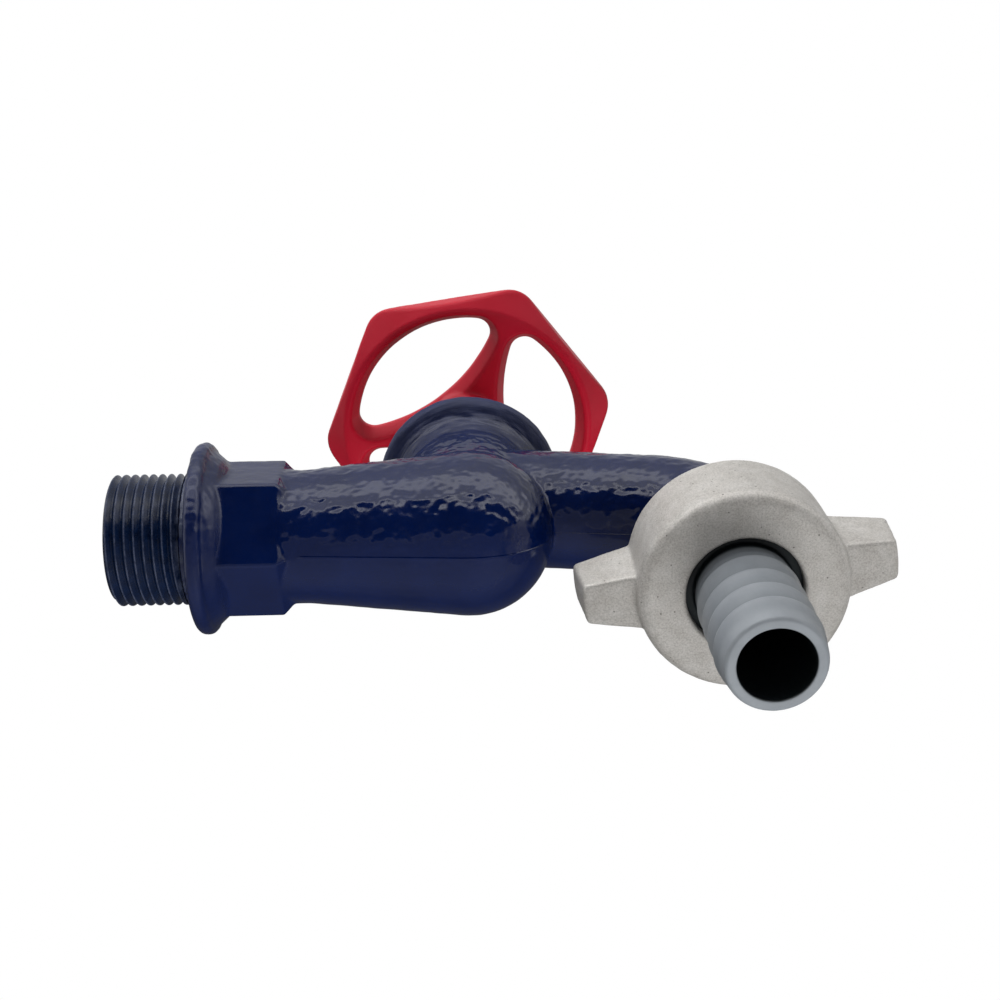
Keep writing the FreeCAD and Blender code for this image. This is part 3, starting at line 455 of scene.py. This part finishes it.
def raw_aluminium():
    """As-cast skin: fine grain, cloudy patches, shallow pits and a few dark specks."""
    speck_edge, speck_strength, pit_size = (0.11, 0.05), 0.75, 0.12

    n = Nodes("cast_aluminium")
    grain = n.noise(0.35, 4.0, 0.7)
    patches = n.shades(n.noise(4.0, 5.0, 0.65), CAST_PATCHES, low=0.32, high=0.68)
    skin = n.mix(0.5, patches, n.shades(grain, CAST_GRAIN, low=0.36, high=0.60))
    speck = n.times(n.between(n.cells(1.9), *speck_edge), speck_strength)
    n.to(n.mix(speck, skin, CAST_SPECK), "Base Color")
    n.to(n.shades(grain, (0.42, 0.62)), "Roughness")
    rough = n.bump(n.noise(0.3, 4.0, 0.7), depth_mm=0.045, strength=1.0)
    wave = n.bump(n.noise(1.6, 3.0), depth_mm=0.06, strength=0.7, below=rough)
    pits = n.shades(n.cells(1.3), (0.0, 1.0), low=0.0, high=pit_size)
    n.to(n.bump(pits, depth_mm=0.02, strength=0.6, below=wave), "Normal")
    n.set(Metallic=0.45, Specular_IOR_Level=0.5)
    return n.material


def moulded_grey():
    """Satin plastic with painted shade: darker at the foot of each barb, and near black down the bore and
    under the nut.
    """
    mouth_z, barb_shade_strength = mm(-57.0, -53.5), 0.55

    n = Nodes("tail_plastic")
    clean = n.shades(n.noise(6.0, 4.0, 0.6), GREY)
    # Painted shade: darker towards the foot of each barb, fading out near the mouth
    below_nut = n.math("SUBTRACT", LOW_CREST_Z + BARBS * BARB_PITCH, n.along("Z"))
    down = n.math("DIVIDE", n.math("MODULO", below_nut, BARB_PITCH), BARB_PITCH)
    foot = n.ramp(down, [(0.0, 0.0), (0.8, 1.0), (0.92, 1.0), (1.0, 0.0)])
    foot = n.times(foot, n.between(n.along("Z"), *mouth_z))
    plastic = n.mix(n.times(foot, barb_shade_strength), clean, GREY_BARB_SHADE)
    # Painted shade: near black down the bore, and on the tail inside the nut
    bore = n.math("SUBTRACT", 1.0, n.between(n.radius(Nodes.ROUND_Z, OUTLET_X), *SHADED_BORE_R))
    shade = n.math("MAXIMUM", bore, n.between(n.along("Z"), *SHADED_UNDER_NUT_Z))
    n.to(n.mix(shade, plastic, UNLIT), "Base Color")
    n.to(n.shades(n.noise(0.8, 4.0, 0.6), (0.36, 0.46)), "Roughness")
    n.to(n.bump(n.noise(0.25, 3.0, 0.6), depth_mm=0.008, strength=0.7), "Normal")
    n.set(Specular_IOR_Level=0.5)
    return n.material


def machined(name, colors, roughness):
    """Turned metal: noise stretched in the level plane for fine rings, and a little tarnish."""
    n = Nodes(name)
    stretch = n.new("ShaderNodeMapping")
    stretch.inputs["Scale"].default_value = (0.12, 0.12, 1.0)
    n.feed(stretch.inputs["Vector"], n.place)
    rings = n.noise(0.4, 3.0, 0.6, place=stretch.outputs["Vector"])
    n.to(n.shades(n.noise(4.0, 4.0, 0.6), colors), "Base Color")
    n.to(n.shades(rings, roughness), "Roughness")
    n.to(n.bump(rings, depth_mm=0.006, strength=0.4), "Normal")
    n.set(Metallic=1.0)
    return n.material


def soft(name, colors, roughness, grain_mm, depth_mm):
    """Rubber, fibre or yarn: matte with a grain of its own."""
    n = Nodes(name)
    grain = n.noise(grain_mm, 4.0, 0.65)
    n.to(n.shades(grain, colors), "Base Color")
    n.to(n.shades(grain, (roughness, roughness + 0.1)), "Roughness")
    n.to(n.bump(grain, depth_mm, strength=0.7), "Normal")
    return n.material


# Pieces

def flare_boss(body):
    """Turn the step under the boss's rim into one concave sweep from the neck, in millimetres."""
    sweep, depth, rim_z = 1.6, 5.5, 27.3
    skin_r, lowest_z, highest_z = 14.2, 20.0, 29.2
    wall_r, wall_top_z = 17.0, 25.4
    shelf_r, shelf_z, shelf_fade = 16.1, 24.8, (18.2, 19.3)
    blurred_r, blur, rounds = 19.0, 0.6, 16

    neck = BOSS_NECK_R / MM
    x, y, z = in_mm(points_of(body), SPINDLE_X)
    radius = np.hypot(x, y)
    outside = (radius > skin_r) & (z > lowest_z) & (z < highest_z)
    wall = outside & (z > rim_z - depth) & (z < wall_top_z) & (radius < wall_r)
    wanted = neck - sweep * np.log(np.clip((rim_z - z) / depth, 1e-3, None))
    grown = np.where(wall, np.maximum(radius, wanted), radius)
    shelf = outside & (grown > shelf_r) & (z > shelf_z)
    share = np.where(shelf, 1 - step(grown, *shelf_fade), 0.0)
    sunk = z + share * (rim_z - depth * np.exp(-(grown - neck) / sweep) - z)
    scale = grown / np.maximum(radius, 1e-6)
    points = from_mm(x * scale, y * scale, sunk, SPINDLE_X)
    weight = np.where(outside & (radius < blurred_r), blur, 0.0)
    set_points(body, smoothed(points, neighbours(body), weight, rounds))


def casting_height(points, normal):
    """Depth of the casting's lumps in millimetres: rough on the -Y side, calm on the other."""
    calm = 0.75
    boss_z, barrel_start_x, barrel_end_x, neck_x = mm(16.5, 19.5), mm(20, 23), mm(92, 97), mm(0.0, 0.4)
    fine_ring, coarse_ring, ring_stretch, neck_lump = 0.11, 0.16, 0.25, 0.06
    seam_height, seam_degrees, seam_width = 0.05, -6.0, 2.2

    x, y, z = points.T
    hexagon = band(x, HEXAGON_START_X, HEXAGON_END_X)
    rough_side = step(-normal[:, 1], -0.2, 0.45)
    boss = step(z, *boss_z)
    rough = rough_side * (1 - calm * boss)
    skin = sum(lumps(points, size, seed) * (everywhere + more * rough)
               for size, seed, everywhere, more in CASTING_LUMPS)

    turn = np.arctan2(y, x - SPINDLE_X)
    ringed = np.stack([radius_round(points, SPINDLE_X), z, ring_stretch * BOSS_NECK_R * turn], 1)
    rings = lumps(ringed, 0.9 * MM, 5) * fine_ring + lumps(ringed, 2.2 * MM, 6) * coarse_ring
    brushed = rings * boss * rough_side

    barrel = band(x, barrel_start_x, barrel_end_x) * step(-normal[:, 2], 0.3, 0.7)
    away = (np.degrees(np.arctan2(y, -z)) - seam_degrees) / seam_width
    seam = seam_height * np.exp(-away ** 2) * barrel
    neck = step(-x, *neck_x) * lumps(points, 0.5 * MM, 4) * neck_lump
    return skin * (1 - calm * hexagon) + brushed + seam + neck


def on_thread(place, inlet_lap, outlet_lap):
    """Whether a place is on the inlet or the outlet thread, each made longer by a lap."""
    on_inlet = place.x < INLET_THREAD_END_X + inlet_lap
    on_outlet = place.z < OUTLET_THREAD_TOP_Z + outlet_lap and place.x > OUTLET_SIDE_X
    return on_inlet or on_outlet


def casting():
    """Valve body: a lumpy sand casting under thick enamel, with crisp threads."""
    body = copy_of("tap_body", "valve_casting")
    thread = copy_of("tap_body", "thread")
    remeshed(body, 0.34 * MM)
    delete_faces(body, lambda place: on_thread(place, -0.15 * MM, -0.10 * MM))
    delete_faces(thread, lambda place: not on_thread(place, 0.02 * MM, 0.02 * MM))
    points = points_of(body)
    firm = band(points[:, 0], mm(-1.0, 0.5), HEXAGON_END_X)
    set_points(body, smoothed(points, neighbours(body), SOFT + (FIRM - SOFT) * firm, rounds=6))
    flare_boss(body)
    points = points_of(body)
    inlet_bore = (np.hypot(points[:, 1], points[:, 2]) < 10.2 * MM) & (points[:, 0] < 40 * MM)
    push_out(body, np.where(inlet_bore, 0.0, casting_height(points, normals_of(body))))
    absorb(body, thread)
    body.data.materials.append(enamel_blue())
    body.data.materials.append(enamel_thread())
    index = [int(on_thread(face.center, -0.03 * MM, 0.0)) for face in body.data.polygons]
    body.data.polygons.foreach_set("material_index", index)
    smooth_shade(body, 40)
    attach(body, "valve_body")
    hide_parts("tap_body")


def red_handle():
    """Handwheel with soft moulded edges."""
    wheel = copy_of("handle", "handwheel")
    remeshed(wheel, 0.30 * MM)
    points = points_of(wheel)
    radius = radius_round(points, SPINDLE_X)
    points = smoothed(points, neighbours(wheel), np.where(radius < HUB_R, FITTED, SOFT), rounds=12)
    set_points(wheel, points)
    wave_mm, full_wave_r = 0.07, 9 * MM
    push_out(wheel, lumps(points, 6 * MM, 3) * wave_mm * step(radius, HUB_R, full_wave_r))
    wheel.data.materials.append(enamel_red())
    smooth_shade(wheel)
    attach(wheel, "spindle_and_handle")
    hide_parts("handle")


def cast_nut():
    """Wing nut with the soft edges and faint waviness of a raw casting."""
    nut = copy_of("wing_nut", "union_wing_nut")
    remeshed(nut, 0.30 * MM)
    points = points_of(nut)
    bore = (radius_round(points, OUTLET_X) < NUT_THREAD_R) & (points[:, 2] > NUT_FLOOR_Z)
    points = smoothed(points, neighbours(nut), np.where(bore, FITTED, SOFT), rounds=4)
    set_points(nut, points)
    wave_mm, grain_mm = 0.05, 0.022
    rough = lumps(points, 3.5 * MM, 5) * wave_mm + lumps(points, 0.9 * MM, 6) * grain_mm
    push_out(nut, np.where(bore, 0.0, rough))
    nut.data.materials.append(raw_aluminium())
    smooth_shade(nut)
    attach(nut, "union_nut")
    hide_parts("wing_nut")


def grey_tail():
    """Hose tail with softened barbs. Its radii and heights are in millimetres here."""
    foot_r, barb_depth, inner_r, outer_r = 9.13, 0.52, 8.6, 10.5
    barbs_start_z, barbs_end_z = (-55.6, -53.0), (-33.4, -32.2)

    tail = copy_of("hose_tail", "barbed_tail")
    remeshed(tail, 0.22 * MM)
    points = points_of(tail)
    points = smoothed(points, neighbours(tail), np.full(len(points), SOFT), rounds=2)
    x, y, z = in_mm(points, OUTLET_X)
    radius = np.hypot(x, y)
    down = np.mod(LOW_CREST_Z - points[:, 2], BARB_PITCH) / BARB_PITCH
    saw = np.where(down < BARB_FLANK, 1 - down / BARB_FLANK, (down - BARB_FLANK) / (1 - BARB_FLANK))
    barbs = (radius > inner_r) * (radius < outer_r) * band(z, barbs_start_z, barbs_end_z)
    scale = 1 + barbs * ((foot_r + barb_depth * saw) / np.maximum(radius, 1e-6) - 1)
    set_points(tail, from_mm(x * scale, y * scale, z, OUTLET_X))
    tail.data.materials.append(moulded_grey())
    smooth_shade(tail)
    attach(tail, "tail")
    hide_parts("hose_tail")


def dress_nodes():
    """Better materials on the CAD nodes that stay."""
    looks = {
        "brass": machined("turned_brass", BRASS, (0.22, 0.38)),
        "steel": machined("plated_steel", STEEL, (0.24, 0.40)),
        "rubber": soft("black_rubber", BLACK_RUBBER, 0.6, grain_mm=0.5, depth_mm=0.02),
        "fibre": soft("red_fibre", RED_FIBRE, 0.75, grain_mm=0.7, depth_mm=0.03),
        "packing": soft("graphite_yarn", GRAPHITE, 0.8, grain_mm=0.6, depth_mm=0.06),
    }
    for entry in frame["record"]["subparts"]:
        look = looks.get(entry["material_slot"])
        if look:
            node = frame["nodes"][entry["node"]]
            node.data.materials.clear()
            node.data.materials.append(look)


# Stage

CAMERA_AT = mm(54.080, -112.242, -263.209)
CAMERA_LOOKS_AT = mm(60.587, -7.058, 0.0)
CAMERA_UP = (0.01102, -1.0, 0.0)
CAMERA_DEGREES = -21.8      # from straight down to the camera, round the X axis
SENSOR_MM = 36.0
LENS_MM = 50.83
LIT_POINT = (0.06, 0.0, 0.0)
ALONG_X = (1, 0, 0)

# What gloss sees round the X axis: degrees above the camera's direction, and brightness there
TONES = [(-180, 0.10), (-150, 0.08), (-112, 0.10), (-95, 0.22), (-75, 0.36), (-45, 0.36), (-28, 0.22),
         (-5, 0.18), (-4, 0.42), (-1, 0.42), (0, 0.0), (46, 0.0), (46.5, 4.0), (50, 4.0), (51, 1.3),
         (66, 1.2), (71, 2.6), (84, 2.6), (92, 1.1), (114, 0.6), (180, 0.5)]


def shown(name, data):
    """New object in the scene."""
    thing = bpy.data.objects.new(name, data)
    bpy.context.scene.collection.objects.link(thing)
    return thing


def facing(position, target, up):
    """Matrix at a position whose -Z axis points at the target."""
    back = (Vector(position) - Vector(target)).normalized()
    right = Vector(up).cross(back).normalized()
    matrix = Matrix((right, back.cross(right), back)).transposed().to_4x4()
    matrix.translation = Vector(position)
    return matrix


def camera():
    data = bpy.data.cameras.new("camera")
    data.sensor_width = SENSOR_MM
    data.lens = LENS_MM
    data.clip_start = 0.01
    data.clip_end = 20.0
    viewer = shown("camera", data)
    viewer.matrix_world = facing(CAMERA_AT, CAMERA_LOOKS_AT, CAMERA_UP)
    bpy.context.scene.camera = viewer


def area_light(name, position, size, power):
    """Lamp that no reflection shows."""
    data = bpy.data.lights.new(name, "AREA")
    data.shape = "RECTANGLE"
    data.size, data.size_y = size
    data.energy = power
    lamp = shown(name, data)
    lamp.matrix_world = facing(position, LIT_POINT, ALONG_X)
    lamp.visible_glossy = False
    lamp.visible_camera = False


def reflector(name, tones):
    """Curved screen round the X axis that only reflections see."""
    radius, near, far, pace = 0.42, -0.9, 1.0, 1.0
    degrees, brightness = zip(*tones)
    count = int((degrees[-1] - degrees[0]) / pace)
    corners = []
    for k in range(count + 1):
        around = math.radians(CAMERA_DEGREES - (degrees[0] + k * pace))
        y, z = radius * math.sin(around), -radius * math.cos(around)
        corners += [(near, y, z), (far, y, z)]
    faces = [(2 * k, 2 * k + 1, 2 * k + 3, 2 * k + 2) for k in range(count)]
    levels = [float(np.interp(degrees[0] + (k + 0.5) * pace, degrees, brightness)) for k in range(count)]
    mesh = bpy.data.meshes.new(name)
    mesh.from_pydata(corners, [], faces)
    mesh.attributes.new("tone", "FLOAT", "FACE").data.foreach_set("value", levels)

    material = bpy.data.materials.new(name)
    material.use_nodes = True
    tree = material.node_tree
    tree.nodes.clear()
    level = tree.nodes.new("ShaderNodeAttribute")
    level.attribute_name = "tone"
    glow = tree.nodes.new("ShaderNodeEmission")
    out = tree.nodes.new("ShaderNodeOutputMaterial")
    tree.links.new(level.outputs["Fac"], glow.inputs["Strength"])
    tree.links.new(glow.outputs[0], out.inputs["Surface"])
    mesh.materials.append(material)

    screen = shown(name, mesh)
    screen.visible_camera = False
    screen.visible_diffuse = False
    screen.visible_shadow = False
    screen.visible_transmission = False


def world():
    """Dim for lighting, white where the camera, gloss or glass sees it."""
    scene = bpy.context.scene
    scene.world = bpy.data.worlds.new("studio")
    scene.world.use_nodes = True
    tree = scene.world.node_tree
    back = tree.nodes["Background"]
    back.inputs["Color"].default_value = (1, 1, 1, 1)
    path = tree.nodes.new("ShaderNodeLightPath")
    seen = path.outputs["Is Camera Ray"]
    for ray in ("Is Glossy Ray", "Is Transmission Ray"):
        either = tree.nodes.new("ShaderNodeMath")
        either.operation = "MAXIMUM"
        tree.links.new(seen, either.inputs[0])
        tree.links.new(path.outputs[ray], either.inputs[1])
        seen = either.outputs[0]
    strength = tree.nodes.new("ShaderNodeMapRange")
    tree.links.new(seen, strength.inputs["Value"])
    strength.inputs["To Min"].default_value = 0.38
    strength.inputs["To Max"].default_value = 1.0
    tree.links.new(strength.outputs["Result"], back.inputs["Strength"])


def floor():
    """Pale floor far below, which throws light back up."""
    reach, low, sides = 8.0, -0.9, 64
    turns = [2 * math.pi * k / sides for k in range(sides)]
    rim = [(reach * math.cos(turn), reach * math.sin(turn), low) for turn in turns]
    mesh = bpy.data.meshes.new("floor")
    mesh.from_pydata(rim, [], [tuple(range(sides))])
    n = Nodes("pale_floor")
    n.set(Base_Color=rgba(0.78), Roughness=0.9, Specular_IOR_Level=0.1, Emission_Color=rgba(1))
    seen = n.new("ShaderNodeMapRange")
    n.feed(seen.inputs["Value"], n.new("ShaderNodeLightPath").outputs["Is Camera Ray"])
    seen.inputs["To Max"].default_value = 0.3
    n.to(seen.outputs["Result"], "Emission Strength")
    mesh.materials.append(n.material)
    shown("floor", mesh)


def main():
    casting()
    red_handle()
    cast_nut()
    grey_tail()
    dress_nodes()
    camera()
    world()
    floor()
    area_light("key", position=(-0.28, -0.78, 0.62), size=(1.5, 0.8), power=20.5)
    area_light("fill", position=(0.22, 0.29, -0.42), size=(0.5, 0.35), power=2.6)
    reflector("screen", TONES)
    bpy.context.scene.view_settings.view_transform = "Standard"


main()
